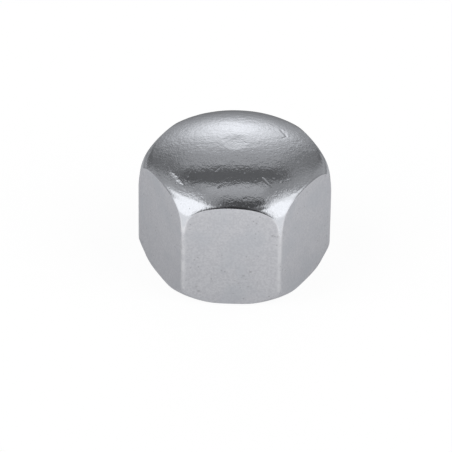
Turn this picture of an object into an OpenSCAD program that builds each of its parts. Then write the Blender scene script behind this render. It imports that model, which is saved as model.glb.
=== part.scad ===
// Low cap nut, forged and turned in one piece.
// The bearing face lies on z = 0 and the thread's axis is the Z axis.
// One flat of the hexagon faces -Y, so two upright edges lie on +X and -X.

/* [Hexagon] */
// Width across the flats, where a spanner grips
across_flats = 17; // [14:0.1:24]
// Height from the bearing face to the top of the crown
height = 14; // [12:0.1:22]
// Rounding of the six upright edges, as the drawn bar has it
edge_r = 0.32; // [0.1:0.01:2]

/* [Crown] */
// Radius of the shallow spherical crown
crown_r = 18.2; // [12:0.1:40]
// Diameter of the small flat left at the middle of the crown
crown_flat_d = 2.6; // [0.5:0.1:5]
// Radius of the shoulder that rolls from the crown into the rim
shoulder_r = 2.36; // [1:0.01:4]
// Distance of the rim inside the hexagon's corners
rim_inset = 0.23; // [0.05:0.01:1]
// Slope of the rim where it cuts the corners, from level
rim_angle = 80.7; // [60:0.1:86]

/* [Foot] */
// Height of the turned chamfer at the hexagon's corners
foot_chamfer = 1.06; // [0.3:0.01:3]
// Slope of that chamfer, from level
foot_angle = 41.4; // [25:0.1:60]

/* [Thread] */
// Nominal diameter of the thread
thread_d = 10; // [6:0.1:12]
// Pitch of the thread
thread_pitch = 1.5; // [0.5:0.05:2]
// Countersink past the thread's own diameter, on each side
mouth_margin = 0.3; // [0:0.05:1]
// Included angle of the countersink
mouth_angle = 90; // [60:1:120]
// Metal left between the drill's point and the top
end_wall = 1.9; // [1:0.1:4]
// Included angle of the drill's point
drill_angle = 118; // [90:1:140]

/* [Hidden] */
$fn = 96;
steel = [0.69, 0.70, 0.71];
// Spare length by which a tool runs past what it cuts
over = 1;
// Overlap of two curves that are tangent, so that they meet in one clean edge
blend = 0.0005;
// What the core diameter of a metric thread leaves out, in pitches
core_factor = 1.0825;

core_d = thread_d - core_factor * thread_pitch;
mouth_d = thread_d + 2 * mouth_margin;
mouth_depth = (mouth_d - core_d) / 2 / tan(mouth_angle / 2);
point_depth = core_d / 2 / tan(drill_angle / 2);
bore_depth = height - end_wall - point_depth;

apothem = across_flats / 2;
// Where the centres of the rounded edges lie, and how far out those edges reach
edge_centre = (apothem - edge_r + blend) / cos(30);
corner_r = edge_centre + edge_r;
foot_r = corner_r - foot_chamfer / tan(foot_angle);

// The crown's sphere, and the shoulder's ring between the sphere and the rim
crown_z = height - sqrt(pow(crown_r, 2) - pow(crown_flat_d / 2, 2));
rim_r = corner_r - rim_inset;
shoulder_x = rim_r - shoulder_r * sin(rim_angle);
shoulder_reach = crown_r - shoulder_r + blend;
shoulder_z = crown_z + sqrt(pow(shoulder_reach, 2) - pow(shoulder_x, 2));
shoulder_start = asin(shoulder_x / shoulder_reach);

// Point at a distance from the shoulder's centre, at an angle from upright
function from_shoulder(angle, distance) =
    [shoulder_x + distance * sin(angle), shoulder_z + distance * cos(angle)];

// Section of the drawn bar: a hexagon with rounded edges
module bar_section() {
    intersection() {
        circle(r = apothem / cos(30), $fn = 6);
        for (turn = [0:60:300])
            rotate(turn) {
                translate([edge_centre, 0])
                    circle(r = edge_r);
                rotate(30)
                    translate([0, -edge_centre / 2])
                        square([apothem + over, edge_centre]);
            }
    }
}

// Everything under the rim and inside the shoulder's ring, as high as the crown
module rim_section() {
    rim_top = from_shoulder(rim_angle, shoulder_r - blend);
    translate([shoulder_x, shoulder_z])
        circle(r = shoulder_r);
    polygon([
        [0, -over],
        rim_top + [cos(rim_angle), -sin(rim_angle)] * (rim_top[1] + over) / sin(rim_angle),
        rim_top,
        [shoulder_x, shoulder_z],
        from_shoulder(shoulder_start, shoulder_r + over),
        [0, height + over]
    ]);
}

// Half of the outline turned on the lathe: foot, rim, shoulder and crown
module turned_section() {
    intersection() {
        rim_section();
        translate([0, crown_z])
            circle(r = crown_r);
        polygon([
            [0, 0], [foot_r, 0],
            [foot_r + height / tan(foot_angle), height], [0, height]
        ]);
    }
}

// Blind tapping hole with its countersunk mouth and the drill's point
module tapped_hole() {
    rotate_extrude()
        polygon([
            [0, -over], [mouth_d / 2, -over], [mouth_d / 2, 0],
            [core_d / 2, mouth_depth], [core_d / 2, bore_depth],
            [0, bore_depth + point_depth]
        ]);
}

module cap_nut() {
    color(steel)
        difference() {
            intersection() {
                linear_extrude(height + over)
                    bar_section();
                rotate_extrude()
                    turned_section();
            }
            tapped_hole();
        }
}

cap_nut();
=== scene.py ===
"""Cap nut: a low domed nut of stainless steel that stands on a pale studio floor.

The nut is one closed skin, made of numpy grids of points. A column of the outer grid stands at one bearing
round the axis. Its section starts at the top and follows, by arc length, the flat spot, the crown, the
shoulder and the rim cone, then a small fillet, the upright side, a fillet, the foot cone and the bearing
face. The side's radius is that of a hexagon with rounded upright edges, so one rule gives flats and
corners. The inner grid follows the tapped hole: rows run along a right-hand helix, eight to a pitch, with
the thread's crests, flanks and roots on the rows, and the drill's cone closes its blind end.
"""

import math

import bmesh
import bpy
import numpy as np
from mathutils import Matrix, Vector


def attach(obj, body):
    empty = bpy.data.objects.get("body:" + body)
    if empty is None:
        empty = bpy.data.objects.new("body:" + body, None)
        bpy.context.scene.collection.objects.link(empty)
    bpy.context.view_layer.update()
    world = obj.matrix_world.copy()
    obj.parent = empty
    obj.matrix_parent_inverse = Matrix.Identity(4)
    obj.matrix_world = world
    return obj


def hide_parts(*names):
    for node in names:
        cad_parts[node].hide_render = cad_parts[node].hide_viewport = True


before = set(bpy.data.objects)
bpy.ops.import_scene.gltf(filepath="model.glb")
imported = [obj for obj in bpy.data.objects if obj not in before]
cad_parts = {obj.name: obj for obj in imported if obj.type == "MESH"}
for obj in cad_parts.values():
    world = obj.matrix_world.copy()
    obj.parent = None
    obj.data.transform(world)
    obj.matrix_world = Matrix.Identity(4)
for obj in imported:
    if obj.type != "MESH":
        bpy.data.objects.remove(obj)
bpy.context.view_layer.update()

MM = 0.001

# The nut, in millimetres, as in the part's source
ACROSS_FLATS = 17.0
HEIGHT = 14.0
EDGE_R = 0.32
CROWN_R = 18.2
CROWN_FLAT_D = 2.6
SHOULDER_R = 2.36
RIM_INSET = 0.23
RIM_ANGLE = math.radians(80.7)
FOOT_CHAMFER = 1.06
FOOT_ANGLE = math.radians(41.4)
THREAD_D = 10.0
THREAD_PITCH = 1.5
THREAD_DEPTH_SHARE = 0.5413
MOUTH_MARGIN = 0.3
END_WALL = 1.9
DRILL_ANGLE = math.radians(118)

# Small rounds on edges that the CAD part leaves sharp. At an upright edge two grow, fading beside it
CROWN_FILLET = 0.16
CORNER_REACH = 1.0
CORNER_FADE = 0.5
FOOT_FILLET = 0.12
FOOT_CORNER_FILLET = 2.4
FOOT_CORNER_FADE = 1.2
# Shares of the foot's cone that its upper and lower round may take up
UPPER_SHARE = 0.62
LOWER_SHARE = 0.3
# How far the foot's cone stands outside the solid's, and how softly it runs out on the flats
FOOT_EASE = 0.08
FOOT_BREAK = 0.07

# The flat spot: the dome is pressed to just below the nut's height, unevenly and with a soft rim
PRESSED_R = 3.0
PRESSED_FADE = 1.0
PRESSED_SINK = 0.003
PRESSED_UNEVEN = 0.0025
PRESSED_SOFT = 0.006

# The crown's unevenness: dents, deeper toward the back, and slow swells. It all fades at the rim
DENT_FRONT = 0.0015
DENT_GAIN = 0.0023
DENT_RUN = 4.0
SWELL = 0.004
CROWN_SINK = 0.008
CROWN_FADE = 0.35

# How far wear and a painted highlight reach beside an upright edge, how much more at the rim, and how they
# and polish fade down
EDGE_WEAR_AND_SHEEN = 0.135
CORNER_WEAR_AND_SHEEN = 0.30
CORNER_WEAR_AND_SHEEN_FALL = 0.7
POLISH_FALL = 0.9
# The edges to the right show less wear and a weaker painted highlight
RIGHT_WEAR_AND_SHEEN = 0.7

# The painted shade line along a flat's arch: how far up the crown, where it starts beside an upright edge,
# how soft
ARCH_LINE = 0.13
ARCH_LINE_START = 0.5
ARCH_LINE_SOFT = 0.8
# It is faint all round and gains on the front flat, within an angle of a bearing just right of its middle
ARCH_FAINT = 0.18
ARCH_GAIN = 0.82
ARCH_ASIDE = 0.07
ARCH_REACH = 0.43

# The thread's shape, as shares of the pitch, how far below the bore's end it stops, and its runout in turns
CREST = 1 / 4
ROOT = 1 / 8
FLANK = (1 - CREST - ROOT) / 2
ROOT_START = CREST + FLANK
THREAD_STOP = 0.3
RUNOUT_TURNS = 1.2

# How finely the skin is cut
SECTORS = 6
ARC_STEPS = 8
FLAT_STEPS = 64
COLUMNS = SECTORS * (ARC_STEPS + FLAT_STEPS)
CROWN_ROWS = 104
SHOULDER_ROWS = 28
SIDE_ROWS = 18
FILLET_ROWS = 5
CONE_ROWS = 3
POINT_ROWS = 5
# Outer columns for each column of the hole
STRIDE = 3
HOLE_COLUMNS = COLUMNS // STRIDE
# Radii where the crown's even rows end, and of the bearing face's two rings of points
CROWN_ROWS_END = 8.0
OUTER_RING = 8.0
INNER_RING = 7.5
# Points closer than this are one, in metres, and faces that meet at more than this angle meet sharply
WELD = 2e-7
SHARP = math.radians(38)

# Worked out from the driving sizes
APOTHEM = ACROSS_FLATS / 2
EDGE_CENTRE = (APOTHEM - EDGE_R) / math.cos(math.pi / 6)
CORNER_R = EDGE_CENTRE + EDGE_R
RIM_R = CORNER_R - RIM_INSET
CROWN_Z = HEIGHT - math.sqrt(CROWN_R ** 2 - (CROWN_FLAT_D / 2) ** 2)
SHOULDER_X = RIM_R - SHOULDER_R * math.sin(RIM_ANGLE)
SHOULDER_Z = CROWN_Z + math.sqrt((CROWN_R - SHOULDER_R) ** 2 - SHOULDER_X ** 2)
SPOT_ANGLE = math.asin(CROWN_FLAT_D / 2 / CROWN_R)
SHOULDER_START = math.asin(SHOULDER_X / (CROWN_R - SHOULDER_R))
FOOT_R = CORNER_R - FOOT_CHAMFER / math.tan(FOOT_ANGLE)
MINOR_R = THREAD_D / 2 - THREAD_DEPTH_SHARE * THREAD_PITCH
MAJOR_R = THREAD_D / 2
MOUTH_R = MAJOR_R + MOUTH_MARGIN
POINT_DEPTH = MINOR_R / math.tan(DRILL_ANGLE / 2)
BORE_DEPTH = HEIGHT - END_WALL - POINT_DEPTH

# Arc lengths along the turned section, from the axis
SPOT_END = CROWN_FLAT_D / 2
CROWN_END = SPOT_END + CROWN_R * (SHOULDER_START - SPOT_ANGLE)
SHOULDER_END = CROWN_END + SHOULDER_R * (RIM_ANGLE - SHOULDER_START)

# The skin's zones, in the order of its materials
OUTSIDE, FOOT, HOLE = range(3)


def outline():
    """Bearing and radius of each column round the hexagon, and its distance from the rounded edge."""
    x, y, away = [], [], []
    flat_length = 2 * (APOTHEM * math.tan(math.pi / 6) - EDGE_R * math.tan(math.pi / 6))
    for k in range(SECTORS):
        here = k * math.pi / 3
        turn = here - math.pi / 6 + np.arange(ARC_STEPS) / ARC_STEPS * math.pi / 3
        x.append(EDGE_CENTRE * math.cos(here) + EDGE_R * np.cos(turn))
        y.append(EDGE_CENTRE * math.sin(here) + EDGE_R * np.sin(turn))
        away.append(np.zeros(ARC_STEPS))
        there = here + math.pi / 3
        face = here + math.pi / 6
        along = np.arange(FLAT_STEPS) / FLAT_STEPS
        for parts, reach in ((x, math.cos), (y, math.sin)):
            start = EDGE_CENTRE * reach(here) + EDGE_R * reach(face)
            end = EDGE_CENTRE * reach(there) + EDGE_R * reach(face)
            parts.append(start + (end - start) * along)
        away.append(flat_length * np.minimum(along, 1 - along))
    x, y = np.concatenate(x), np.concatenate(y)
    return np.arctan2(y, x), np.hypot(x, y), np.concatenate(away)


def turned(length):
    """Radius, height and downward slope of the turned section at an arc length from the axis."""
    on_crown = SPOT_ANGLE + (length - SPOT_END) / CROWN_R
    on_shoulder = SHOULDER_START + (length - CROWN_END) / SHOULDER_R
    past = length - SHOULDER_END
    rim_z = SHOULDER_Z + SHOULDER_R * math.cos(RIM_ANGLE)
    zones = [length < SPOT_END, length < CROWN_END, length < SHOULDER_END]
    radius = np.select(
        zones,
        [length, CROWN_R * np.sin(on_crown), SHOULDER_X + SHOULDER_R * np.sin(on_shoulder)],
        RIM_R + past * math.cos(RIM_ANGLE),
    )
    crown_z = CROWN_Z + CROWN_R * np.cos(on_crown)
    height = np.select(
        zones,
        [HEIGHT + 0 * length, crown_z, SHOULDER_Z + SHOULDER_R * np.cos(on_shoulder)],
        rim_z - past * math.sin(RIM_ANGLE),
    )
    slope = np.select(zones, [0 * length, on_crown, on_shoulder], RIM_ANGLE)
    return radius, height, slope


def turned_length(radius):
    """Arc length along the turned section at which it reaches a radius."""
    on_crown = np.arcsin(np.clip(radius / CROWN_R, 0, 1))
    on_shoulder = np.arcsin(np.clip((radius - SHOULDER_X) / SHOULDER_R, 0, 1))
    along_crown = SPOT_END + CROWN_R * (on_crown - SPOT_ANGLE)
    along_shoulder = CROWN_END + SHOULDER_R * (on_shoulder - SHOULDER_START)
    return np.select(
        [radius < SPOT_END, on_crown < SHOULDER_START, radius < RIM_R],
        [radius, along_crown, along_shoulder],
        SHOULDER_END + (radius - RIM_R) / math.cos(RIM_ANGLE),
    )


def round_off(start, corner, end, weight):
    """Rows of (r, z) along a round from start to end, whose tangents there meet at the corner."""
    rows = []
    for step in range(FILLET_ROWS + 1):
        u = step / FILLET_ROWS
        a, b, c = (1 - u) ** 2, 2 * u * (1 - u) * weight, u ** 2
        rows.append((a * start + b * corner + c * end) / (a + b + c))
    return rows


def fillet(corner, incoming, outgoing, radius, most):
    """Rows of a round of this radius between two unit directions, with its reach held to the most given."""
    turn = np.arccos(np.clip((incoming * outgoing).sum(0), -1, 1))
    reach = np.minimum(radius * np.tan(turn / 2), most)
    return round_off(corner - incoming * reach, corner, corner + outgoing * reach, np.cos(turn / 2))


def between(start, end, steps):
    """Points that share a straight run equally, without its start."""
    return [start + (end - start) * (i + 1) / steps for i in range(steps)]


def crown_rows(side_r, edge_away):
    """Rows from the top down to the upright side, with its head's round, and where the crown ends."""
    rows = []
    ring_end = turned_length(np.array(CROWN_ROWS_END))
    for i in range(CROWN_ROWS):
        r, z, _ = turned(np.full(COLUMNS, ring_end * (i + 1) / CROWN_ROWS))
        rows.append(np.stack([r, z]))
    total = turned_length(side_r)
    slope = turned(total)[2]
    at_corner = CORNER_REACH * np.exp(-((edge_away / CORNER_FADE) ** 2))
    last = total - (CROWN_FILLET * np.tan((math.pi / 2 - slope) / 2) + at_corner)
    for i in range(SHOULDER_ROWS):
        r, z, _ = turned(ring_end + (last - ring_end) * (i + 1) / SHOULDER_ROWS)
        rows.append(np.stack([r, z]))
    crown_end = len(rows)
    r, z, slope = turned(last)
    down = np.stack([0 * side_r, -1 + 0 * side_r])
    corner = np.stack([side_r, z - (side_r - r) * np.tan(slope)])
    end = corner + down * (side_r - r) / np.cos(slope)
    weight = np.cos((math.pi / 2 - slope) / 2)
    rows += round_off(np.stack([r, z]), corner, end, weight)[1:]
    return rows, crown_end


def section(side_r, edge_away):
    """Rows of (r, z) for each column from the top to the bearing face, and the row where each zone ends."""
    rows, crown_end = crown_rows(side_r, edge_away)
    excess = side_r - FOOT_R - FOOT_EASE
    width = 0.5 * (excess + np.sqrt(excess ** 2 + (2 * FOOT_BREAK) ** 2))
    slant = width / math.cos(FOOT_ANGLE)
    down = np.stack([0 * side_r, -1 + 0 * side_r])
    cone = np.stack([-math.cos(FOOT_ANGLE) + 0 * side_r, -math.sin(FOOT_ANGLE) + 0 * side_r])
    inward = np.stack([-1 + 0 * side_r, 0 * side_r])
    high_r = FOOT_FILLET + FOOT_CORNER_FILLET * np.exp(-((edge_away / FOOT_CORNER_FADE) ** 2))
    high_corner = np.stack([side_r, width * math.tan(FOOT_ANGLE)])
    low_corner = np.stack([side_r - width, 0 * side_r])
    high = fillet(high_corner, down, cone, high_r, UPPER_SHARE * slant)
    low = fillet(low_corner, cone, inward, FOOT_FILLET, LOWER_SHARE * slant)
    rows += between(rows[-1], high[0], SIDE_ROWS)
    side_end = len(rows)
    rows += high[1:]
    rows += between(rows[-1], low[0], CONE_ROWS)
    rows += low[1:]
    rows.append(np.stack([OUTER_RING + 0 * side_r, 0 * side_r]))
    return np.array(rows), crown_end, side_end


def ripples(points, seed, shortest, longest, count=32):
    """Smooth unevenness of about -1 to 1: waves of random heading and phase, their slopes much alike."""
    rng = np.random.default_rng(seed)
    heading = rng.normal(size=(count, 3))
    heading /= np.linalg.norm(heading, axis=1)[:, None]
    wavelength = shortest * (longest / shortest) ** rng.random(count)
    phase = rng.random(count) * 2 * math.pi
    total = np.zeros(points.shape[:-1])
    for h, w, p in zip(heading, wavelength, phase):
        total += np.sin(points @ h * (2 * math.pi / w) + p) * w / longest
    return total / math.sqrt(count / 2)


def stroke(x, y, start, end, width, depth):
    """A groove along a straight run seen in plan, with a low lip beside it. A ding has no length."""
    lip, lip_away = 0.3, 1.7
    ax, ay = start
    bx, by = end
    squared = max((bx - ax) ** 2 + (by - ay) ** 2, 1e-9)
    along = np.clip(((x - ax) * (bx - ax) + (y - ay) * (by - ay)) / squared, 0, 1)
    away = np.hypot(x - ax - along * (bx - ax), y - ay - along * (by - ay)) / width
    return depth * (lip * np.exp(-((away - lip_away) ** 2) * 2) - np.exp(-(away ** 2)))


# The crown's broad knocks, seen in plan: start, end, width and depth in millimetres
KNOCKS = (
    ((4.48, 3.56), (5.02, 2.48), 0.14, 0.022),
    ((5.02, 2.48), (4.89, 3.44), 0.11, 0.014),
    ((4.03, -4.69), (4.03, -4.69), 0.12, 0.008),
    ((0.06, 5.5), (0.06, 5.5), 0.13, 0.010),
    ((6.24, -1.47), (6.3, -1.3), 0.13, 0.012),
)


def press_spot(radius, x, y, height):
    """The crown's height with the flat spot pressed into its dome, smoothly where the two meet."""
    dome = CROWN_Z + np.sqrt(CROWN_R ** 2 - np.minimum(radius, PRESSED_R) ** 2)
    uneven = ripples(np.stack([x, y, height], -1), seed=11, shortest=0.6, longest=2.0)
    pressed = HEIGHT - PRESSED_SINK + PRESSED_UNEVEN * uneven
    blended = 0.5 * (dome + pressed - np.sqrt((dome - pressed) ** 2 + PRESSED_SOFT ** 2))
    fade = np.clip((PRESSED_R - radius) / PRESSED_FADE, 0, 1)
    return height + np.where(radius < PRESSED_R, blended - height, 0) * fade


def wear_crown(radius, side_r, x, y, height):
    """The crown's height with its dents, swells and knocks. They move it straight up or down."""
    points = np.stack([x, y, height], -1)
    dented = DENT_FRONT + DENT_GAIN * np.clip((y + DENT_RUN) / DENT_RUN, 0, 1)
    uneven = dented * ripples(points, seed=3, shortest=0.45, longest=1.4, count=48)
    uneven += SWELL * ripples(points, seed=5, shortest=2.0, longest=5.0)
    marks = sum(stroke(x, y, *knock) for knock in KNOCKS)
    fade = np.clip((side_r - radius) / CROWN_FADE, 0, 1)
    return height + ((uneven + marks) * fade - CROWN_SINK * fade)


def worn_rows(rows, crown_end, side_r, bearing):
    """The section's rows, with the crown's flat spot pressed and the whole crown worn."""
    used = rows.copy()
    radius = rows[:crown_end, 0]
    x, y = radius * np.cos(bearing), radius * np.sin(bearing)
    height = press_spot(radius, x, y, rows[:crown_end, 1])
    used[:crown_end, 1] = wear_crown(radius, side_r, x, y, height)
    return used


def hole_points(bearing):
    """The tapped hole's grid of points, from the mouth up to the bore's end."""
    crest = [0, CREST / 2, CREST]
    root = [ROOT_START, ROOT_START + ROOT / 2, ROOT_START + ROOT]
    share = np.array([*crest, CREST + FLANK / 2, *root, 1 - FLANK / 2])
    depth = np.array([0, 0, 0, 0.5, 1, 1, 1, 0.5]) * (MAJOR_R - MINOR_R)
    turns = int(BORE_DEPTH / THREAD_PITCH) + 3
    start = (np.arange(-1, turns)[:, None] + share[None, :]).reshape(-1) * THREAD_PITCH
    cut = np.tile(depth, turns + 1)
    z = start[:, None] + (bearing - bearing[0])[None, :] / (2 * math.pi) * THREAD_PITCH
    z = np.clip(z, 0, BORE_DEPTH)
    runout = np.clip((BORE_DEPTH - THREAD_STOP - z) / (RUNOUT_TURNS * THREAD_PITCH), 0, 1)
    r = np.maximum(MINOR_R + cut[:, None] * runout, MOUTH_R - z)
    r = np.where(z >= BORE_DEPTH, MINOR_R, r)
    r = np.where(z <= 0, MOUTH_R, r)
    return np.stack([r * np.cos(bearing), r * np.sin(bearing), z], -1)


def point_cone(bearing):
    """Rings of points on the drill's cone, between the bore's end and its tip."""
    share = (np.arange(1, POINT_ROWS + 1) / (POINT_ROWS + 1))[:, None, None]
    ring = np.stack([np.cos(bearing), np.sin(bearing)], -1)[None]
    height = np.broadcast_to(BORE_DEPTH + POINT_DEPTH * share, (POINT_ROWS, len(bearing), 1))
    return np.concatenate([MINOR_R * (1 - share) * ring, height], -1)


def row_faces(first, above, columns, closed):
    """Four-sided faces between a row of points and the next one."""
    here = np.arange(columns if closed else columns - 1)
    there = (here + 1) % columns
    low = above + columns
    return np.stack([above + here, low + here, low + there, above + there], 1) + first


def skin_faces(n_rows, side_end, hole_rows, starts):
    """Every face of the skin with its zone, as pairs. The starts say where each set of points begins."""
    pole_at, ring_at, hole_at, cone_at, tip_at = starts
    wide = HOLE_COLUMNS + 1
    spin = np.arange(COLUMNS)
    around = np.arange(HOLE_COLUMNS)
    following = (around + 1) % HOLE_COLUMNS
    parts = [(OUTSIDE, np.stack([np.full(COLUMNS, pole_at), spin, (spin + 1) % COLUMNS], 1))]
    for i in range(n_rows - 1):
        parts.append((OUTSIDE if i < side_end else FOOT, row_faces(0, i * COLUMNS, COLUMNS, True)))
    last = (n_rows - 1) * COLUMNS
    outer = last + STRIDE * around
    ring = ring_at + around
    outer_next = last + (STRIDE * around + STRIDE) % COLUMNS
    parts.append((FOOT, np.stack([outer, ring, ring_at + following, outer_next, outer + 2, outer + 1], 1)))
    parts.append((FOOT, np.stack([ring, hole_at + around, hole_at + around + 1, ring_at + following], 1)))
    for i in range(hole_rows - 1):
        parts.append((HOLE, row_faces(hole_at, i * wide, wide, False)))
    bore_end = hole_at + (hole_rows - 1) * wide + around
    parts.append((HOLE, np.stack([bore_end, cone_at + around, cone_at + following, bore_end + 1], 1)))
    for i in range(POINT_ROWS - 1):
        parts.append((HOLE, row_faces(cone_at, i * HOLE_COLUMNS, HOLE_COLUMNS, True)))
    top = cone_at + (POINT_ROWS - 1) * HOLE_COLUMNS
    parts.append((HOLE, np.stack([top + around, np.full(HOLE_COLUMNS, tip_at), top + following], 1)))
    return parts


def edge_tones(rows, crown_end, side_end, bearing, edge_away):
    """Tones of 0 to 1 for the outer grid's points: worn edge that also carries a painted highlight,
    polished crown and painted shade along the arch.
    """
    row = np.arange(len(rows))[:, None]
    below = np.maximum(rows[crown_end, 1] - rows[:, 1], 0)
    wear_and_sheen_width = EDGE_WEAR_AND_SHEEN + CORNER_WEAR_AND_SHEEN * np.exp(-below / CORNER_WEAR_AND_SHEEN_FALL)
    edge = np.exp(-((edge_away[None, :] / wear_and_sheen_width) ** 2))
    side_wear_and_sheen = np.where(np.cos(bearing) < 0, 1.0, RIGHT_WEAR_AND_SHEEN)
    # Worn edge: partly real wear, partly a painted highlight for the upright edge's reflection streak,
    # wider near the rim and stronger on the left
    wear_and_sheen = np.where((row > crown_end) & (row < side_end), side_wear_and_sheen, 0) * edge
    shiny = np.clip((crown_end + FILLET_ROWS - 1 - row) / (FILLET_ROWS - 1), 0, 1)
    polished = np.maximum(shiny, np.exp(-below / POLISH_FALL) * edge)
    slant = np.hypot(rows[:, 0] - rows[crown_end, 0], rows[:, 1] - rows[crown_end, 1])
    along = np.clip((edge_away - ARCH_LINE_START) / ARCH_LINE_SOFT, 0, 1)
    line = np.exp(-((slant / ARCH_LINE) ** 2)) * along
    front = np.exp(-(((bearing + math.pi / 2 - ARCH_ASIDE) / ARCH_REACH) ** 6))
    line = line * (ARCH_FAINT + ARCH_GAIN * front)
    # Painted shade: a dark line just above each flat's arch, where the crown meets the flat
    arch_shade = np.where(row <= crown_end + 1, line, 0)
    return {"wear_and_sheen": wear_and_sheen, "polished": polished, "arch_shade": arch_shade}


def skin_mesh():
    """The nut's whole skin: points in metres, faces, zones, and tones for each point."""
    bearing, side_r, edge_away = outline()
    rows, crown_end, side_end = section(side_r, edge_away)
    rows = worn_rows(rows, crown_end, side_r, bearing)
    radius, height = rows[:, 0], rows[:, 1]
    outer = np.stack([radius * np.cos(bearing), radius * np.sin(bearing), height], -1)
    hole_bearing = np.arange(HOLE_COLUMNS + 1) * 2 * math.pi / HOLE_COLUMNS + bearing[0]
    around = hole_bearing[:-1]
    hole = hole_points(hole_bearing)
    sets = [
        outer.reshape(-1, 3),
        np.array([[0, 0, height[0].mean()]]),
        np.stack([INNER_RING * np.cos(around), INNER_RING * np.sin(around), 0 * around], -1),
        hole.reshape(-1, 3),
        point_cone(around).reshape(-1, 3),
        np.array([[0, 0, BORE_DEPTH + POINT_DEPTH]]),
    ]
    points = np.concatenate(sets)
    starts = np.cumsum([len(part) for part in sets])[:-1]
    parts = skin_faces(len(rows), side_end, len(hole), starts)
    faces = [face for _, part in parts for face in part.tolist()]
    zones = [zone for zone, part in parts for _ in part]
    tones = {}
    for name, tone in edge_tones(rows, crown_end, side_end, bearing, edge_away).items():
        tones[name] = np.zeros(len(points))
        tones[name][: tone.size] = tone.reshape(-1)
    return points * MM, faces, zones, tones


def build_nut(materials):
    """The nut's object: its skin, with points that coincide welded, and sharp only at large angles."""
    points, faces, zones, tones = skin_mesh()
    mesh = bpy.data.meshes.new("cap_nut_skin")
    mesh.from_pydata(points.tolist(), [], faces)
    for material in materials:
        mesh.materials.append(material)
    mesh.polygons.foreach_set("material_index", np.array(zones, np.int32))
    for name, values in tones.items():
        attribute = mesh.attributes.new(name, "FLOAT", "POINT")
        attribute.data.foreach_set("value", values.astype(np.float32))
    work = bmesh.new()
    work.from_mesh(mesh)
    bmesh.ops.remove_doubles(work, verts=work.verts, dist=WELD)
    work.to_mesh(mesh)
    work.free()
    mesh.polygons.foreach_set("use_smooth", np.ones(len(mesh.polygons), bool))
    mesh.set_sharp_from_angle(angle=SHARP)
    mesh.update()
    nut = bpy.data.objects.new("nut", mesh)
    bpy.context.scene.collection.objects.link(nut)
    return nut


def join(tree, value, socket):
    """Feeds a socket from another node's output, or sets its plain value."""
    if isinstance(value, bpy.types.NodeSocket):
        tree.links.new(value, socket)
    else:
        socket.default_value = value


def math_node(tree, operation, *values):
    """One step of arithmetic on outputs or plain numbers."""
    node = tree.nodes.new("ShaderNodeMath")
    node.operation = operation
    for socket, value in zip(node.inputs, values):
        join(tree, value, socket)
    return node.outputs[0]


def ramp(tree, value, low, high, to_low=0.0, to_high=1.0, smooth=True):
    """A value carried from one range to another, with soft ends where smooth."""
    node = tree.nodes.new("ShaderNodeMapRange")
    node.interpolation_type = "SMOOTHSTEP" if smooth else "LINEAR"
    given = {"Value": value, "From Min": low, "From Max": high, "To Min": to_low, "To Max": to_high}
    for name, setting in given.items():
        join(tree, setting, node.inputs[name])
    return node.outputs["Result"]


def object_place(tree):
    """The place on the object, in metres."""
    return tree.nodes.new("ShaderNodeTexCoord").outputs["Object"]


def split_place(tree, place_on):
    """The three parts of a place."""
    split = tree.nodes.new("ShaderNodeSeparateXYZ")
    tree.links.new(place_on, split.inputs[0])
    return split.outputs


def socket_name(word):
    """A socket's name from a plain word: an underscore stands for a space."""
    return word.replace("_", " ").capitalize()


def new_group(name, floats, outputs, vectors=()):
    """An empty shader node group, its number inputs with plain values, with vector inputs after them."""
    tree = bpy.data.node_groups.new(name, "ShaderNodeTree")
    for word, default in floats.items():
        socket = tree.interface.new_socket(socket_name(word), in_out="INPUT", socket_type="NodeSocketFloat")
        socket.default_value = default
    for word in vectors:
        tree.interface.new_socket(socket_name(word), in_out="INPUT", socket_type="NodeSocketVector")
    for word in outputs:
        tree.interface.new_socket(socket_name(word), in_out="OUTPUT", socket_type="NodeSocketFloat")
    return tree, tree.nodes.new("NodeGroupInput").outputs, tree.nodes.new("NodeGroupOutput").inputs


def place(tree, group, label="", **values):
    """Puts a group in a tree, with its inputs set or fed."""
    node = tree.nodes.new("ShaderNodeGroup")
    node.node_tree = group
    node.label = label
    for word, value in values.items():
        join(tree, value, node.inputs[socket_name(word)])
    return node.outputs


def edge(tree, value, place_at, soft, falling=False):
    """A soft step as a value passes a place, rising from 0 to 1 or falling from 1 to 0."""
    low, high = math_node(tree, "SUBTRACT", place_at, soft), math_node(tree, "ADD", place_at, soft)
    return ramp(tree, value, high, low) if falling else ramp(tree, value, low, high)


def laid_over(tree, behind, level, masks):
    """A level laid over another by the product of masks."""
    share = masks[0]
    for other in masks[1:]:
        share = math_node(tree, "MULTIPLY", share, other)
    change = math_node(tree, "MULTIPLY", math_node(tree, "SUBTRACT", level, behind), share)
    return math_node(tree, "ADD", behind, change)


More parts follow.
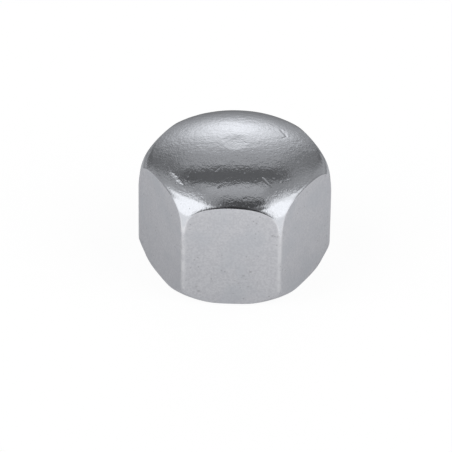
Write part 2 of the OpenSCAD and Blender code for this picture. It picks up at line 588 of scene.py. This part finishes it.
# The light tent: each lamp is laid over those before it. The levels are brightness, where white is 1.
# A box's centre is a bearing from the back, to the right above zero. Its left and right are measured from
# there, and its top and bottom from the zenith, all in degrees.
BACK_AND_SIDES = {
    "back wall": dict(
        centre=-3, left=47, left_soft=8, right=36.5, right_soft=5, lean=0,
        top=24, top_soft=2.5, bottom=90, bottom_soft=6, high_level=0.58, low_level=0.12,
    ),
    "back wall glow": dict(
        centre=0, left=17, left_soft=17, right=13.5, right_soft=16, lean=0,
        top=42, top_soft=22, bottom=83, bottom_soft=15, high_level=0.48, low_level=2.08,
    ),
    "left wall": dict(
        centre=-63, left=13.5, left_soft=4, right=14, right_soft=6, lean=-0.1,
        top=26, top_soft=4, bottom=90, bottom_soft=5, high_level=0.42, low_level=0.64,
    ),
    "left high panel": dict(
        centre=-86, left=26, left_soft=4, right=27, right_soft=12, lean=-0.35,
        top=18.5, top_soft=7, bottom=46, bottom_soft=8, high_level=1.5, low_level=1.4,
    ),
    "right high panel": dict(
        centre=74, left=25, left_soft=8, right=21, right_soft=10, lean=0.45,
        top=20.5, top_soft=5, bottom=48, bottom_soft=11, high_level=1.0, low_level=1.45,
    ),
    "left box": dict(
        centre=-113.5, left=20.5, left_soft=3.7, right=22, right_soft=8, lean=0,
        top=26, top_soft=5, bottom=95, bottom_soft=9, high_level=1.5, low_level=1.5,
    ),
    "right box": dict(
        centre=113, left=24, left_soft=6.4, right=21, right_soft=5.5, lean=-0.07,
        top=29, top_soft=6, bottom=92, bottom_soft=9, high_level=1.5, low_level=1.5,
    ),
}
# A panel lies on a flat ceiling one unit above the nut, and its sizes are in such units
BACK_GAP = {
    "overhead gap": dict(
        left=-0.575, right=0.565, side_soft=0.07, near=0.293, near_soft=0.012, far=0.585,
        far_soft=0.045, tilt=0.10, bow=0.72, near_level=0.16, far_level=0.16,
    ),
}
GAPS = {
    "back seam left": dict(
        centre=-37.5, left=3, left_soft=1.2, right=4, right_soft=7, lean=-0.42,
        top=29, top_soft=4, bottom=95, bottom_soft=4, high_level=0.12, low_level=0.22,
    ),
    "back seam right": dict(
        centre=32, left=3.5, left_soft=4, right=3.5, right_soft=10, lean=0.12,
        top=39, top_soft=4, bottom=90, bottom_soft=4, high_level=0.20, low_level=0.20,
    ),
    "camera side gap": dict(
        centre=180, left=60, left_soft=4, right=48, right_soft=7.5, lean=0,
        top=8, top_soft=3, bottom=34.5, bottom_soft=5, high_level=0.165, low_level=0.19,
    ),
}
OVERHEAD = {
    "overhead light": dict(
        left=-0.33, right=0.304, side_soft=0.08, near=0.08, near_soft=0.012, far=0.278,
        far_soft=0.012, tilt=0.1, bow=0.45, near_level=0.43, far_level=0.60,
    ),
    "zenith gap": dict(
        left=-0.13, right=0.30, side_soft=0.06, near=-0.2, near_soft=0.05, far=0.078,
        far_soft=0.012, tilt=0.02, bow=0.45, near_level=0.10, far_level=0.10,
    ),
}
# The tent's own level at the zenith and at the horizon
SKY_TOP = 0.30
SKY_FOOT = 0.49
# A box leans above this angle from the zenith, in degrees
LEAN_PIVOT = 58.0
# A direction's height counts as at least this where it meets the flat ceiling
CEILING_LOW = 0.15


def soft_box_group():
    """Lays a soft-edged box of light, upright all round the object, over what is behind it.

    Above the pivot its sides lean by so many degrees for each degree of height.
    """
    words = ["behind", "bearing", "zenith", *BACK_AND_SIDES["back wall"]]
    tree, s, out = new_group("soft box", dict.fromkeys(words, 0.0), ["light"])
    rise = math_node(tree, "MAXIMUM", math_node(tree, "SUBTRACT", LEAN_PIVOT, s["Zenith"]), 0.0)
    centre = math_node(tree, "ADD", s["Centre"], math_node(tree, "MULTIPLY", s["Lean"], rise))
    off = math_node(tree, "WRAP", math_node(tree, "SUBTRACT", s["Bearing"], centre), 180.0, -180.0)
    masks = [
        edge(tree, math_node(tree, "MULTIPLY", off, -1.0), s["Left"], s["Left soft"], falling=True),
        edge(tree, off, s["Right"], s["Right soft"], falling=True),
        edge(tree, s["Zenith"], s["Top"], s["Top soft"]),
        edge(tree, s["Zenith"], s["Bottom"], s["Bottom soft"], falling=True),
    ]
    level = ramp(tree, s["Zenith"], s["Top"], s["Bottom"], s["High level"], s["Low level"], smooth=False)
    tree.links.new(laid_over(tree, s["Behind"], level, masks), out["Light"])
    return tree


def ceiling_group():
    """Lays a soft-edged panel overhead over what is behind it, by its place on the flat ceiling.

    Across runs from left to right and deep from the camera's side to the back. Its near and far edges may
    be tilted and bowed, so that they look straight in the crown.
    """
    words = ["behind", "across", "deep", *OVERHEAD["overhead light"]]
    tree, s, out = new_group("ceiling panel", dict.fromkeys(words, 0.0), ["light"])
    tilt = math_node(tree, "MULTIPLY", s["Tilt"], s["Across"])
    squared = math_node(tree, "POWER", math_node(tree, "ABSOLUTE", s["Across"]), 2.0)
    bow = math_node(tree, "MULTIPLY", s["Bow"], squared)
    deep = math_node(tree, "SUBTRACT", math_node(tree, "SUBTRACT", s["Deep"], tilt), bow)
    masks = [
        edge(tree, s["Across"], s["Left"], s["Side soft"]),
        edge(tree, s["Across"], s["Right"], s["Side soft"], falling=True),
        edge(tree, deep, s["Near"], s["Near soft"]),
        edge(tree, deep, s["Far"], s["Far soft"], falling=True),
    ]
    level = ramp(tree, deep, s["Near"], s["Far"], s["Near level"], s["Far level"], smooth=False)
    tree.links.new(laid_over(tree, s["Behind"], level, masks), out["Light"])
    return tree


def light_studio(scene):
    """A light tent: a plain grey sky with soft boxes laid over it. The camera sees plain white instead."""
    world = bpy.data.worlds.new("studio")
    scene.world = world
    world.use_nodes = True
    tree = world.node_tree
    tree.nodes.clear()
    x, y, z = split_place(tree, tree.nodes.new("ShaderNodeTexCoord").outputs["Generated"])
    bearing = math_node(tree, "DEGREES", math_node(tree, "ARCTAN2", x, y))
    zenith = math_node(tree, "DEGREES", math_node(tree, "ARCCOSINE", z))
    up = math_node(tree, "MAXIMUM", z, CEILING_LOW)
    round_about = dict(bearing=bearing, zenith=zenith)
    above = dict(across=math_node(tree, "DIVIDE", x, up), deep=math_node(tree, "DIVIDE", y, up))
    box, panel = soft_box_group(), ceiling_group()
    layers = (
        (box, round_about, BACK_AND_SIDES),
        (panel, above, BACK_GAP),
        (box, round_about, GAPS),
        (panel, above, OVERHEAD),
    )
    light = ramp(tree, zenith, 0.0, 90.0, SKY_TOP, SKY_FOOT, smooth=False)
    for group, where, lamps in layers:
        for name, sizes in lamps.items():
            light = place(tree, group, label=name, behind=light, **where, **sizes)["Light"]
    to_camera = tree.nodes.new("ShaderNodeLightPath").outputs["Is Camera Ray"]
    to_others = math_node(tree, "SUBTRACT", 1.0, to_camera)
    strength = math_node(tree, "ADD", math_node(tree, "MULTIPLY", light, to_others), to_camera)
    background = tree.nodes.new("ShaderNodeBackground")
    background.inputs["Color"].default_value = (1, 1, 1, 1)
    tree.links.new(strength, background.inputs["Strength"])
    output = tree.nodes.new("ShaderNodeOutputWorld")
    tree.links.new(background.outputs[0], output.inputs["Surface"])


# Colours of the steel, of its pits and of the painted shade in the arch line
STEEL = (0.58, 0.585, 0.617)
CROWN_STEEL = (0.60, 0.616, 0.652)
CROWN_DULL = (0.572, 0.588, 0.622)
DULL_STEEL = (0.535, 0.54, 0.572)
BRIGHT_STEEL = (0.625, 0.63, 0.66)
STAINED_STEEL = (0.50, 0.525, 0.565)
# Steel of the worn edges, brighter than the rest: partly wear, partly a painted highlight
WEAR_AND_SHEEN_STEEL = (0.71, 0.715, 0.74)
PIT = (0.25, 0.25, 0.26)
# Near-black colour for the painted shade line along each flat's arch
ARCH_SHADE_COLOUR = (0.07, 0.07, 0.075)
# How much of a plain metal's extra shine at a glancing angle the steel keeps
EDGE_TINT = (0.74, 0.745, 0.76, 1)

# Sizes of each finish's fine marks, in millimetres, and the share of the grain in its height
CROWN_MARKS = dict(mottle_size=0.28, grain_size=0.11, grain_share=0.5, speck_size=0.7, speck_radius=0.10)
SIDE_MARKS = dict(mottle_size=0.2, grain_size=0.1, grain_share=0.6, speck_size=0.8, speck_radius=0.11)
WEAR_AND_SHEEN_MARKS = dict(mottle_size=0.75, grain_size=0.16, grain_share=0.5)
FOOT_MARKS = dict(mottle_size=0.2, grain_size=0.07)
STAIN_MARKS = dict(mottle_size=2.6)

# Spans of the noise over which each effect passes from its least to its most
ROUGH_SPAN = (0.3, 0.7)
CLOUD_SPAN = (0.32, 0.68)
DULL_SPAN = (0.36, 0.64)
STAIN_SPAN = (0.42, 0.72)
WEAR_AND_SHEEN_SPAN = (0.58, 0.84)
ARCH_SHADE_SPAN = (0.4, 0.8)
# The span of the polish over which the side's colour passes into the crown's
POLISH_SPAN = (0.1, 0.9)

# Roughness of each finish, from least to most
CROWN_ROUGH = (0.035, 0.07)
SIDE_ROUGH = (0.36, 0.44)
FOOT_ROUGH = (0.26, 0.34)
THREAD_ROUGH = (0.24, 0.32)

# Heights of the fine marks in millimetres. The crown's grow toward the back, between two places in y
CROWN_LIFT = (0.0085, 0.021)
CROWN_LIFT_RUN = (-4.6, -1.6)
SPECK_SINK = 0.006
SIDE_LIFT = 0.009
FOOT_LIFT = 0.0015

# How strongly pits, stains and specks show
PIT_SHARE = 0.75
STAIN_SHARE = 0.4
SIDE_SPECKS = 0.45
FOOT_SPECKS = 0.4
# The worn edges' brighter steel and the arch line's painted shade are broken up by the noise of the wear's
# marks, from least to most
WEAR_AND_SHEEN_LEFT = (0.28, 1.0)
ARCH_SHADE_LEFT = (0.7, 0.95)

# Where a fine scratch's lip lies, in widths from its middle
LIP_AWAY = 1.8

# Fine scratches on the crown: start, end, width and depth in millimetres, seen in plan. A depth below zero
# makes a raised line.
SCRATCHES = (
    ((-1.49, -6.28), (-0.81, -5.79), 0.075, 0.017),
    ((2.93, -4.83), (3.77, -5.71), 0.075, 0.018),
    ((-1.82, -4.3), (-1.49, -3.93), 0.06, 0.006),
    ((4.55, -3.77), (5.11, -4.1), 0.06, 0.006),
    ((0.64, 0.37), (1.06, -0.12), 0.08, 0.008),
    ((4.73, 1.9), (5.1, 2.3), 0.09, 0.016),
    ((-6.42, -3.5), (-6.2, -3.72), 0.06, -0.022),
    ((-6.16, -3.84), (-6.0, -3.96), 0.10, -0.05),
    ((-5.97, -4.16), (-5.83, -4.27), 0.09, -0.052),
    ((-5.73, -4.36), (-5.63, -4.58), 0.10, -0.055),
    ((-5.64, -4.73), (-5.45, -4.86), 0.08, -0.045),
    ((-5.38, -4.94), (-5.25, -5.12), 0.09, -0.04),
    ((-5.24, -5.14), (-5.02, -5.36), 0.06, -0.018),
    ((-4.66, -4.5), (-4.29, -3.82), 0.06, 0.006),
)

# Pits in the front flat: place across, height and width in millimetres, and depth of tone
FLAT_PITS = (
    (4.02, 8.72, 0.08, 0.75),
    (4.62, 8.62, 0.10, 0.85),
    (1.89, 4.13, 0.08, 0.8),
    (1.2, 3.6, 0.09, 0.6),
    (0.72, 2.65, 0.08, 0.55),
    (0.35, 2.95, 0.06, 0.5),
    (2.6, 2.85, 0.06, 0.4),
    (1.7, 2.3, 0.08, 0.55),
    (-0.15, 2.35, 0.06, 0.4),
    (-1.95, 2.85, 0.07, 0.35),
    (-3.5, 2.1, 0.09, 0.5),
    (-3.3, 1.5, 0.09, 0.6),
)
# A pit rises by this share of its width along its length
PIT_RISE = 0.3


def new_material(name):
    """A new material, its node tree and its main shader."""
    material = bpy.data.materials.new(name)
    material.use_nodes = True
    return material, material.node_tree, material.node_tree.nodes["Principled BSDF"]


def new_steel(name):
    """A new material of metal, with less shine at a glancing angle than a plain one."""
    material, tree, shader = new_material(name)
    shader.inputs["Metallic"].default_value = 1.0
    shader.inputs["Specular Tint"].default_value = EDGE_TINT
    return material, tree, shader


def surface_group():
    """Fine marks of steel: mottle and grain as a height and specks as a tone, with sizes in millimetres."""
    plain = dict(mottle_size=0.3, grain_size=0.08, grain_share=0.3, speck_size=0.5, speck_radius=0.1)
    tree, s, out = new_group("steel surface", plain, ["height", "mottle", "specks"])
    millimetres = tree.nodes.new("ShaderNodeVectorMath")
    millimetres.operation = "SCALE"
    tree.links.new(object_place(tree), millimetres.inputs[0])
    millimetres.inputs["Scale"].default_value = 1 / MM
    here = millimetres.outputs[0]

    def noise(size, detail):
        """Noise with waves of about this size."""
        node = tree.nodes.new("ShaderNodeTexNoise")
        tree.links.new(here, node.inputs["Vector"])
        tree.links.new(math_node(tree, "DIVIDE", 1.0, size), node.inputs["Scale"])
        node.inputs["Detail"].default_value = detail
        return node.outputs["Fac"]

    mottle = noise(s["Mottle size"], 2.0)
    grain = noise(s["Grain size"], 1.0)
    height = math_node(tree, "ADD", mottle, math_node(tree, "MULTIPLY", grain, s["Grain share"]))
    cells = tree.nodes.new("ShaderNodeTexVoronoi")
    tree.links.new(here, cells.inputs["Vector"])
    tree.links.new(math_node(tree, "DIVIDE", 1.0, s["Speck size"]), cells.inputs["Scale"])
    radius = math_node(tree, "DIVIDE", s["Speck radius"], s["Speck size"])
    specks = ramp(tree, cells.outputs["Distance"], radius, math_node(tree, "MULTIPLY", radius, 0.5))
    for label, value in (("Height", height), ("Mottle", mottle), ("Specks", specks)):
        tree.links.new(value, out[label])
    return tree


def scratch_group():
    """Adds one fine scratch or pit to a height: a groove along a straight run, with a raised lip outside.

    The height falls by depth times exp(-(d/w)^2) and rises by lip times depth times exp(-(d/w - a)^2), with
    d the distance to the run, w the width and a the lip's place. A depth below zero makes a raised line.
    """
    plain = dict(behind=0.0, width=0.05, depth=0.01, lip=0.0)
    tree, s, out = new_group("fine scratch", plain, ["height"], vectors=("start", "end"))

    def vector(operation, first, second, out_name="Vector"):
        """One step of arithmetic on vectors."""
        node = tree.nodes.new("ShaderNodeVectorMath")
        node.operation = operation
        tree.links.new(first, node.inputs[0])
        join(tree, second, node.inputs["Scale"] if operation == "SCALE" else node.inputs[1])
        return node.outputs[out_name]

    def bell(beside):
        """A soft bump: 1 where the value is 0, and falling on both sides."""
        squared = math_node(tree, "MULTIPLY", beside, beside)
        return math_node(tree, "EXPONENT", math_node(tree, "MULTIPLY", squared, -1.0))

    here = vector("SCALE", object_place(tree), 1 / MM)
    run, off = vector("SUBTRACT", s["End"], s["Start"]), vector("SUBTRACT", here, s["Start"])
    along, whole = vector("DOT_PRODUCT", off, run, "Value"), vector("DOT_PRODUCT", run, run, "Value")
    share = math_node(tree, "DIVIDE", along, whole)
    share = math_node(tree, "MINIMUM", math_node(tree, "MAXIMUM", share, 0.0), 1.0)
    away = vector("DISTANCE", off, vector("SCALE", run, share), "Value")
    away = math_node(tree, "DIVIDE", away, s["Width"])
    lip = math_node(tree, "MULTIPLY", bell(math_node(tree, "SUBTRACT", away, LIP_AWAY)), s["Lip"])
    shape = math_node(tree, "SUBTRACT", lip, bell(away))
    change = math_node(tree, "MULTIPLY", shape, s["Depth"])
    tree.links.new(math_node(tree, "ADD", s["Behind"], change), out["Height"])
    return tree


def on_crown(x, y):
    """The point of the crown at a place in plan."""
    return (x, y, CROWN_Z + math.sqrt(CROWN_R ** 2 - x ** 2 - y ** 2))


def mix_colour(tree, share, first, second):
    """A share of the second colour over the first."""
    node = tree.nodes.new("ShaderNodeMix")
    node.data_type = "RGBA"
    join(tree, share, node.inputs["Factor"])
    for value, socket in ((first, node.inputs[6]), (second, node.inputs[7])):
        join(tree, value if isinstance(value, bpy.types.NodeSocket) else (*value, 1), socket)
    return node.outputs[2]


def bump(tree, height, distance):
    """The normal of a surface raised by a height, times a distance in millimetres."""
    node = tree.nodes.new("ShaderNodeBump")
    node.inputs["Strength"].default_value = 1.0
    node.inputs["Distance"].default_value = distance * MM
    tree.links.new(height, node.inputs["Height"])
    return node.outputs["Normal"]


def steel(name, marks, roughness):
    """A plain turned finish, for the foot and the thread, with a least and a most roughness."""
    material, tree, shader = new_steel(name)
    fine = place(tree, marks, **FOOT_MARKS)
    tree.links.new(ramp(tree, fine["Mottle"], *ROUGH_SPAN, *roughness), shader.inputs["Roughness"])
    specks = math_node(tree, "MULTIPLY", fine["Specks"], FOOT_SPECKS)
    tree.links.new(mix_colour(tree, specks, STEEL, PIT), shader.inputs["Base Color"])
    tree.links.new(bump(tree, fine["Height"], FOOT_LIFT), shader.inputs["Normal"])
    return material


def attribute(tree, name):
    """A tone that the skin's points carry."""
    node = tree.nodes.new("ShaderNodeAttribute")
    node.attribute_name = name
    return node.outputs["Fac"]


def side_colour(tree, marks, scratch, side):
    """The satin sides' colour: cloudy, with specks, a few large stains, and the front flat's pits."""
    cloudy = mix_colour(tree, ramp(tree, side["Mottle"], *CLOUD_SPAN), DULL_STEEL, BRIGHT_STEEL)
    colour = mix_colour(tree, math_node(tree, "MULTIPLY", side["Specks"], SIDE_SPECKS), cloudy, PIT)
    large = place(tree, marks, **STAIN_MARKS)
    stains = ramp(tree, large["Mottle"], *STAIN_SPAN, 0.0, STAIN_SHARE)
    colour = mix_colour(tree, stains, colour, STAINED_STEEL)
    pits = 0.0
    for across, height, width, tone in FLAT_PITS:
        start = (across, -APOTHEM, height)
        end = (across + width, -APOTHEM, height + PIT_RISE * width)
        pits = place(tree, scratch, behind=pits, start=start, end=end, width=width, depth=-tone)["Height"]
    pits = math_node(tree, "MULTIPLY", math_node(tree, "MINIMUM", pits, 1.0), PIT_SHARE)
    return mix_colour(tree, pits, colour, PIT)


def crown_relief(tree, scratch, crown):
    """The crown's fine height: mottle that grows toward the back, small dings and the scratches."""
    y = split_place(tree, object_place(tree))["Y"]
    front, back = CROWN_LIFT_RUN
    height = math_node(tree, "MULTIPLY", crown["Height"], ramp(tree, y, front * MM, back * MM, *CROWN_LIFT))
    height = math_node(tree, "SUBTRACT", height, math_node(tree, "MULTIPLY", crown["Specks"], SPECK_SINK))
    for start, end, width, depth in SCRATCHES:
        ends = dict(start=on_crown(*start), end=on_crown(*end))
        height = place(tree, scratch, behind=height, width=width, depth=depth, **ends)["Height"]
    return height


def outer_steel(marks, scratch):
    """The nut's outside: a tumbled, fairly bright crown over satin sides with worn upright edges, their
    wear partly a painted highlight, and a painted shade line along each flat's arch.
    """
    material, tree, shader = new_steel("outer steel")
    crown, side, wear_and_sheen_marks = (place(tree, marks, **sizes) for sizes in (CROWN_MARKS, SIDE_MARKS, WEAR_AND_SHEEN_MARKS))
    polished = attribute(tree, "polished")
    broken = ramp(tree, wear_and_sheen_marks["Height"], *WEAR_AND_SHEEN_SPAN, *WEAR_AND_SHEEN_LEFT)
    # The worn edges' brighter steel, partly a painted highlight of the edge streak, broken up by noise
    wear_and_sheen = math_node(tree, "MULTIPLY", attribute(tree, "wear_and_sheen"), broken)
    patchy = ramp(tree, wear_and_sheen_marks["Height"], *ARCH_SHADE_SPAN, *ARCH_SHADE_LEFT)
    # The painted shade line along each flat's arch, broken up by noise
    arch_shade = math_node(tree, "MULTIPLY", attribute(tree, "arch_shade"), patchy)
    crown_rough = ramp(tree, crown["Mottle"], *ROUGH_SPAN, *CROWN_ROUGH)
    side_rough = ramp(tree, side["Mottle"], *ROUGH_SPAN, *SIDE_ROUGH)
    rough = ramp(tree, polished, 0.0, 1.0, side_rough, crown_rough, smooth=False)
    tree.links.new(rough, shader.inputs["Roughness"])
    bright = mix_colour(tree, ramp(tree, side["Mottle"], *DULL_SPAN), CROWN_DULL, CROWN_STEEL)
    satin = side_colour(tree, marks, scratch, side)
    colour = mix_colour(tree, ramp(tree, polished, *POLISH_SPAN), satin, bright)
    # Lays the worn edges' partly painted highlight over the colour, then the painted shade of the arch line
    colour = mix_colour(tree, wear_and_sheen, colour, WEAR_AND_SHEEN_STEEL)
    tree.links.new(mix_colour(tree, arch_shade, colour, ARCH_SHADE_COLOUR), shader.inputs["Base Color"])
    side_height = math_node(tree, "MULTIPLY", side["Height"], SIDE_LIFT)
    height = ramp(tree, polished, 0.0, 1.0, side_height, crown_relief(tree, scratch, crown), smooth=False)
    tree.links.new(bump(tree, height, 1.0), shader.inputs["Normal"])
    return material


# The floor reaches this far from the nut, in metres, and lies a little below it, in millimetres
FLOOR_REACH = 3.0
FLOOR_DROP = 0.02
# Its colour, how brightly it glows to the camera, and the shares of glow that camera and metal see
FLOOR_COLOUR = (0.92, 0.92, 0.92, 1)
FLOOR_WHITE = 1.07
CAMERA_SHARE = 0.85
METAL_SHARE = 0.7

# The floor's brightness as the metal mirrors it: each from one distance in millimetres to another
NEAR_FRONT_TO_BACK = dict(low=-26, high=9, to_low=1.13, to_high=0.66)
NEAR_TO_BESIDE = dict(low=9, high=27, to_low=-0.06, to_high=0.29)
LEFT_TO_RIGHT = dict(low=-15, high=15, to_low=-0.05, to_high=0.04)
FRONT_RISE = dict(low=13, high=44, to_high=1.3)
FRONT_FAR = dict(low=50, high=180, to_high=1.5)
BACK_DARK = dict(low=30, high=52, to_high=0.27)
BACK_FAR = dict(low=72, high=150, to_high=0.52)
# Between these shares of the way back, -1 to 1, the front's brightness passes into the back's
FRONT_ENDS, BACK_STARTS = -0.45, 0.25

# The nut's own shadow behind it: its strength, and where it has no shade and full shade, in millimetres
SHADOW = 0.78
SHADOW_ACROSS = dict(low=10.5, high=8)
SHADOW_STARTS = dict(low=5, high=9)
SHADOW_ENDS = dict(low=62, high=34)
# How much wider it grows on each side for each millimetre away
SHADOW_SPREAD = 0.2


def over_floor(tree, value, low, high, smooth=True, **levels):
    """A ramp over distances on the floor, given in millimetres."""
    return ramp(tree, value, low * MM, high * MM, smooth=smooth, **levels)


def mirrored_floor(tree):
    """How bright the metal sees the floor: bright in front, dark close behind and grey far behind."""
    x, y, _ = split_place(tree, object_place(tree))
    beside = math_node(tree, "ABSOLUTE", x)
    squared = math_node(tree, "ADD", math_node(tree, "MULTIPLY", x, x), math_node(tree, "MULTIPLY", y, y))
    away = math_node(tree, "SQRT", squared)
    near = over_floor(tree, y, smooth=False, **NEAR_FRONT_TO_BACK)
    near = math_node(tree, "ADD", near, over_floor(tree, beside, smooth=False, **NEAR_TO_BESIDE))
    near = math_node(tree, "ADD", near, over_floor(tree, x, smooth=False, **LEFT_TO_RIGHT))
    front = over_floor(tree, away, to_low=over_floor(tree, away, to_low=near, **FRONT_RISE), **FRONT_FAR)
    back = over_floor(tree, away, to_low=over_floor(tree, away, to_low=near, **BACK_DARK), **BACK_FAR)
    to_back = math_node(tree, "DIVIDE", y, math_node(tree, "MAXIMUM", away, 1 * MM))
    seen = ramp(tree, to_back, FRONT_ENDS, BACK_STARTS, front, back)
    beyond = math_node(tree, "SUBTRACT", beside, math_node(tree, "MULTIPLY", y, SHADOW_SPREAD))
    across = over_floor(tree, beyond, **SHADOW_ACROSS)
    starts, ends = over_floor(tree, y, **SHADOW_STARTS), over_floor(tree, y, **SHADOW_ENDS)
    close = math_node(tree, "MULTIPLY", starts, ends)
    shade = math_node(tree, "MULTIPLY", math_node(tree, "MULTIPLY", across, close), SHADOW)
    return math_node(tree, "MULTIPLY", seen, math_node(tree, "SUBTRACT", 1.0, shade))


def lay_floor():
    """A large pale floor. Camera and metal see most of it as a glow, so that its shadow stays faint."""
    mesh = bpy.data.meshes.new("floor")
    far, z = FLOOR_REACH, -FLOOR_DROP * MM
    corners = [(-far, -far, z), (far, -far, z), (far, far, z), (-far, far, z)]
    mesh.from_pydata(corners, [], [(0, 1, 2, 3)])
    floor = bpy.data.objects.new("floor", mesh)
    bpy.context.scene.collection.objects.link(floor)
    material, tree, shader = new_material("pale floor")
    shader.inputs["Base Color"].default_value = FLOOR_COLOUR
    shader.inputs["Roughness"].default_value = 1.0
    shader.inputs["Specular IOR Level"].default_value = 0.0
    path = tree.nodes.new("ShaderNodeLightPath").outputs
    glow = tree.nodes.new("ShaderNodeEmission")
    to_camera = math_node(tree, "MULTIPLY", path["Is Camera Ray"], FLOOR_WHITE)
    to_metal = math_node(tree, "MULTIPLY", path["Is Glossy Ray"], mirrored_floor(tree))
    tree.links.new(math_node(tree, "ADD", to_camera, to_metal), glow.inputs["Strength"])
    camera_share = math_node(tree, "MULTIPLY", path["Is Camera Ray"], CAMERA_SHARE)
    metal_share = math_node(tree, "MULTIPLY", path["Is Glossy Ray"], METAL_SHARE)
    mixed = tree.nodes.new("ShaderNodeMixShader")
    tree.links.new(math_node(tree, "ADD", camera_share, metal_share), mixed.inputs["Fac"])
    tree.links.new(shader.outputs[0], mixed.inputs[1])
    tree.links.new(glow.outputs[0], mixed.inputs[2])
    tree.links.new(mixed.outputs[0], tree.nodes["Material Output"].inputs["Surface"])
    mesh.materials.append(material)


# The camera, found from the nut's outline in the photo
IMAGE_SIZE = 452
SENSOR = 36.0
FOCAL_PIXELS = 4130.5
CAMERA_ELEVATION = math.radians(36.36)
CAMERA_BEARING = math.radians(1.692)
CAMERA_ROLL = math.radians(0.827)
CAMERA_DISTANCE = 419.2 * MM
TARGET = Vector((0, 0, 6.538 * MM))
TARGET_PIXEL = (234.632, 201.786)


def aim_camera(scene):
    """A long lens at the photo's viewing angle, turned so that the target falls on its pixel."""
    turn = Matrix.Rotation(CAMERA_BEARING, 3, "Z")
    right = turn @ Vector((1, 0, 0))
    up = turn @ Vector((0, math.sin(CAMERA_ELEVATION), math.cos(CAMERA_ELEVATION)))
    back = turn @ Vector((0, -math.cos(CAMERA_ELEVATION), math.sin(CAMERA_ELEVATION)))
    right, up = (
        right * math.cos(CAMERA_ROLL) + up * math.sin(CAMERA_ROLL),
        up * math.cos(CAMERA_ROLL) - right * math.sin(CAMERA_ROLL),
    )
    level = Matrix((right, up, back)).transposed()
    offset = Vector((TARGET_PIXEL[0] - IMAGE_SIZE / 2, IMAGE_SIZE / 2 - TARGET_PIXEL[1], -FOCAL_PIXELS))
    aside = Vector((0, 0, -1)).rotation_difference(offset).to_matrix()
    data = bpy.data.cameras.new("camera")
    data.sensor_width = SENSOR
    data.lens = FOCAL_PIXELS * SENSOR / IMAGE_SIZE
    camera = bpy.data.objects.new("camera", data)
    scene.collection.objects.link(camera)
    turned_to = (level @ aside.transposed()).to_4x4()
    camera.matrix_world = Matrix.Translation(TARGET + back * CAMERA_DISTANCE) @ turned_to
    scene.camera = camera


scene = bpy.context.scene
scene.view_settings.view_transform = "Standard"
marks = surface_group()
finishes = [
    outer_steel(marks, scratch_group()),
    steel("foot steel", marks, FOOT_ROUGH),
    steel("thread steel", marks, THREAD_ROUGH),
]
nut = build_nut(finishes)
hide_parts("cap_nut")
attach(nut, "root")
lay_floor()
light_studio(scene)
aim_camera(scene)
